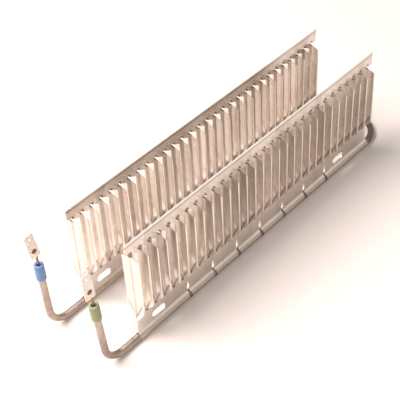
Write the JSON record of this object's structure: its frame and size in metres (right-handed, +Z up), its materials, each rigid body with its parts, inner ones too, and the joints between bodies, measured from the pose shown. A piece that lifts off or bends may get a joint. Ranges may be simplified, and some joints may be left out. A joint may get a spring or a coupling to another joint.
{
  "type": "finned tubular heating element",
  "caption": "U-shaped metal-sheathed heating element with an upright finned aluminium sheet on each leg and a sleeved tab terminal on each raised end.",
  "frame": {"origin": "under the middle of the element's bounding box, on the ground that the two folded sheets stand on", "axes": "+X along the legs towards the U-bend, +Y from the front leg to the rear leg, +Z up"},
  "size_m": [0.4171, 0.0842, 0.1165],
  "materials": {
    "fin_aluminium": "mill-finish aluminium sheet, warm tinted and lightly stained by heat",
    "sheath_steel": "drawn stainless steel tube, satin and warm grey",
    "magnesia": "pressed mineral powder, matt",
    "coil_wire": "resistance wire, dull",
    "pin_steel": "steel pin, reddish brown from heat",
    "seal": "dark sealing compound",
    "sleeve_green": "matt green sleeve",
    "sleeve_blue": "matt blue sleeve",
    "tab_steel": "plated steel tab, slightly tarnished"
  },
  "bodies": {
    "root": {"fin_sheet_front": "fin_aluminium", "fin_sheet_rear": "fin_aluminium", "sheath": "sheath_steel", "magnesia_fill": "magnesia", "resistance_coil": "coil_wire", "terminal_pin_front": "pin_steel", "terminal_pin_rear": "pin_steel", "end_seal_front": "seal", "end_seal_rear": "seal", "sleeve_green": "sleeve_green", "sleeve_blue": "sleeve_blue", "tab_front": "tab_steel", "tab_rear": "tab_steel"}
  },
  "joints": []
}
